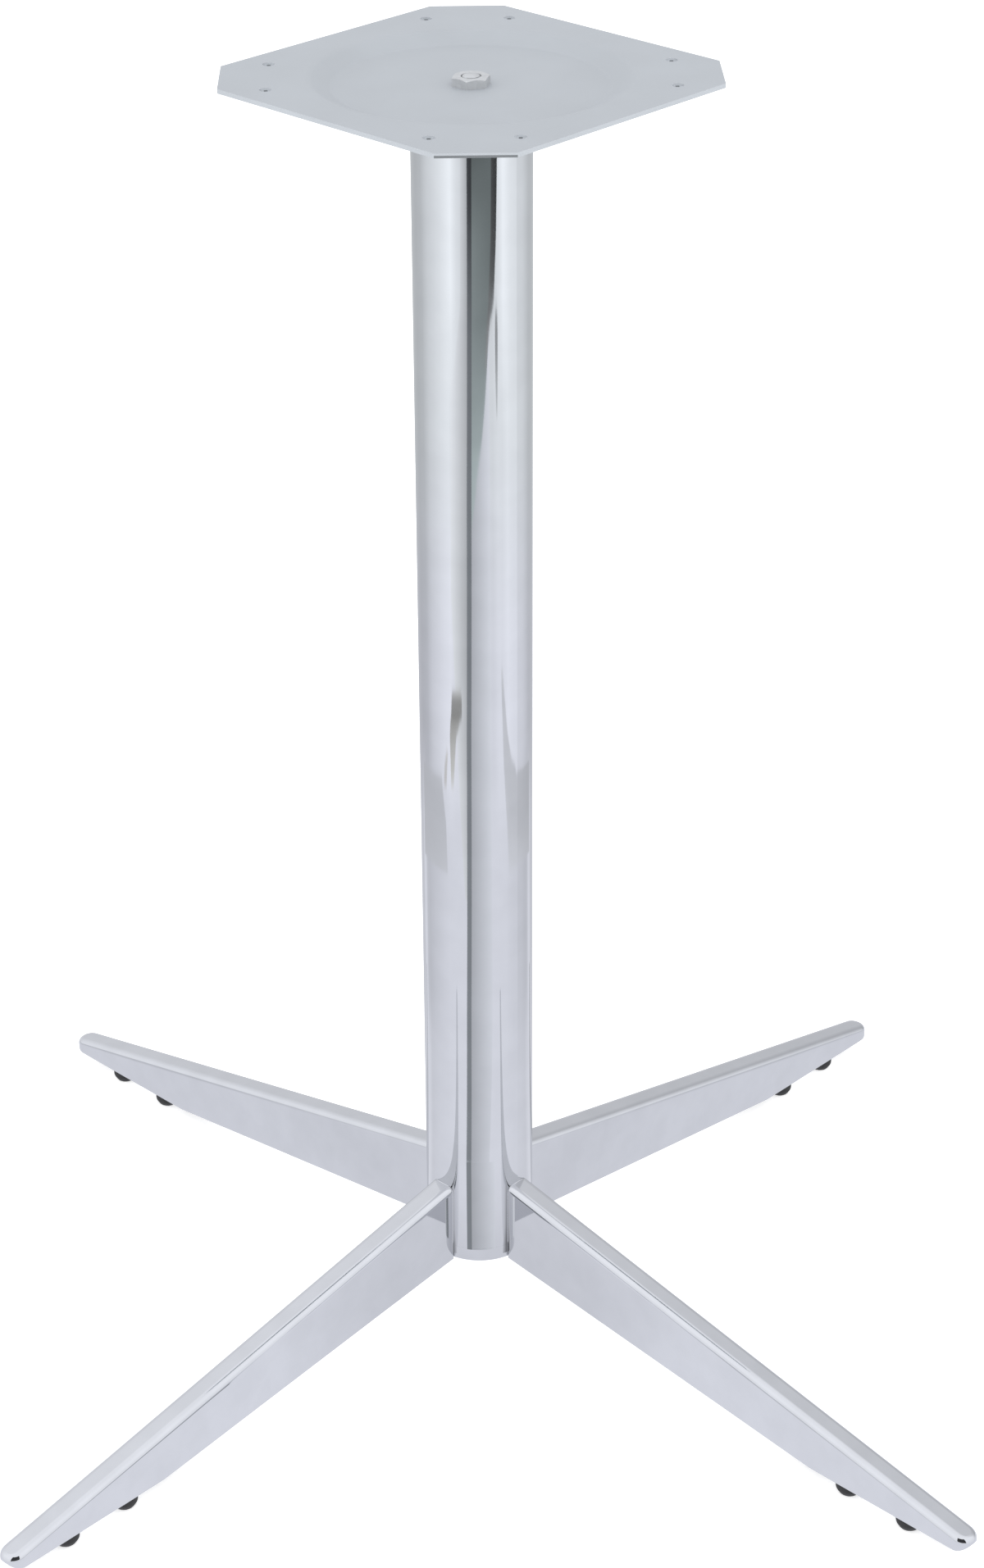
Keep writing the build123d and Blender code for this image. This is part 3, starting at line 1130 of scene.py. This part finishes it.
def tent_level(tree, place, front):
    """Radiance of the tent by height and by side."""
    unit = add_node(tree, "ShaderNodeVectorMath", {"operation": "NORMALIZE"}, {0: place})
    parts = add_node(tree, "ShaderNodeSeparateXYZ", {}, {0: unit.outputs[0]})
    facing = add_node(
        tree, "ShaderNodeVectorMath", {"operation": "DOT_PRODUCT", 1: level_direction(front)},
        {0: unit.outputs[0]},
    )
    side = add_node(
        tree, "ShaderNodeMapRange",
        {"From Min": TENT_TURN, "From Max": 0.0, "interpolation_type": "SMOOTHSTEP"},
        {"Value": facing.outputs["Value"]},
    )
    behind, before = (
        tabled_level(tree, parts.outputs["Z"], zone, 1) for zone in (TENT_BACK, TENT_FRONT)
    )
    leftwards = (math.sin(front), -math.cos(front), 0.0)
    sideways = add_node(
        tree, "ShaderNodeVectorMath", {"operation": "DOT_PRODUCT", 1: leftwards}, {0: unit.outputs[0]},
    )
    lean = add_node(
        tree, "ShaderNodeMath", {"operation": "MULTIPLY_ADD", 1: TENT_BACK_LEAN, 2: 1.0},
        {0: sideways.outputs["Value"]},
    )
    leaning = add_node(
        tree, "ShaderNodeMath", {"operation": "MULTIPLY"}, {0: behind, 1: lean.outputs[0]},
    )
    mix = add_node(
        tree, "ShaderNodeMix", {"data_type": "FLOAT"},
        {0: side.outputs["Result"], 2: leaning.outputs[0], 3: before},
    )
    return mix.outputs[0]


def make_surroundings(studio):
    """What the chrome mirrors: the glowing floor, the tent above it and the cards."""
    front = camera_side(studio)
    floor_glow = glow_material(
        "lit floor", linear("#F4F6FE"), lambda t, p: lit_floor_level(t, p, front), linear("#F6FAFD"),
    )
    vertices, faces = disc(TENT_RADIUS, LAYER)
    only_mirrored(stage_object("lit_floor", vertices, faces, floor_glow))

    tent_glow = glow_material("tent cloth", linear("#F8FAFF"), lambda t, p: tent_level(t, p, front))
    rows = 16
    vertices = []
    for row in range(rows + 1):
        rise = math.pi / 2 * row / rows
        radius = TENT_RADIUS * math.cos(rise)
        height = TENT_RADIUS * math.sin(rise)
        for angle in angles_round(CIRCLE_STEPS):
            vertices.append((radius * math.cos(angle), radius * math.sin(angle), height))
    faces = ring_faces(rows + 1, CIRCLE_STEPS)
    only_mirrored(stage_object("light_tent", vertices, faces, tent_glow))

    for number, (name, card) in enumerate(STUDIO_CARDS.items()):
        make_card(name, card, front, (2 + number) * LAYER)


def make_card(name, card, front, height):
    """One card, lying at that height or standing, as a strip of quads across its rows."""
    steps = 12
    vertices = []
    levels = []
    for start, left, right, left_level, right_level in card["rows"]:
        distance, level = (card["radius"], start) if "radius" in card else (start, height)
        for step in range(steps + 1):
            share = step / steps
            angle = front + math.radians(left + (right - left) * share)
            vertices.append((distance * math.cos(angle), distance * math.sin(angle), level))
            levels.append(left_level + (right_level - left_level) * share)
    faces = []
    for row in range(len(card["rows"]) - 1):
        for step in range(steps):
            low = row * (steps + 1) + step
            faces.append((low, low + 1, low + steps + 2, low + steps + 1))

    def radiance(tree, place):
        return add_node(tree, "ShaderNodeAttribute", {"attribute_name": "level"}).outputs["Fac"]

    cloth = glow_material(f"card {name}", linear(card["colour"]), radiance)
    only_mirrored(stage_object(f"card_{name}", vertices, faces, cloth, levels))


class TABLE_BASE_PT_panel(bpy.types.Panel):
    """The base's parts, finishes and studio."""

    bl_idname = "TABLE_BASE_PT_panel"
    bl_label = "Table Base"
    bl_space_type = "VIEW_3D"
    bl_region_type = "UI"
    bl_category = "Table Base"

    def draw(self, context):
        scene = context.scene
        groups = (scene.table_base_colours, scene.table_base_sizes, scene.table_base_studio)
        for group in groups:
            box = self.layout.box()
            for name in group.__annotations__:
                box.prop(group, name)
        for operator in OPERATORS:
            self.layout.operator(operator.bl_idname)


GROUPS = {
    "table_base_colours": TableBaseColours,
    "table_base_sizes": TableBaseSizes,
    "table_base_studio": TableBaseStudio,
}
OPERATORS = (
    TABLE_BASE_OT_chromed_parts,
    TABLE_BASE_OT_top_plate,
    TABLE_BASE_OT_zinc_parts,
    TABLE_BASE_OT_rubber_pads,
    TABLE_BASE_OT_welds,
    TABLE_BASE_OT_studio,
)


def register():
    for kind in (*GROUPS.values(), *OPERATORS, TABLE_BASE_PT_panel):
        bpy.utils.register_class(kind)
    for name, group in GROUPS.items():
        setattr(bpy.types.Scene, name, bpy.props.PointerProperty(type=group))


def unregister():
    for name in GROUPS:
        delattr(bpy.types.Scene, name)
    for kind in reversed((*GROUPS.values(), *OPERATORS, TABLE_BASE_PT_panel)):
        bpy.utils.unregister_class(kind)


def main():
    """Makes everything in order."""
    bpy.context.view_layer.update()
    register()
    bpy.ops.table_base.chromed_parts()
    bpy.ops.table_base.top_plate()
    bpy.ops.table_base.zinc_parts()
    bpy.ops.table_base.rubber_pads()
    bpy.ops.table_base.welds()
    bpy.ops.table_base.studio()


if __name__ == "__main__":
    main()
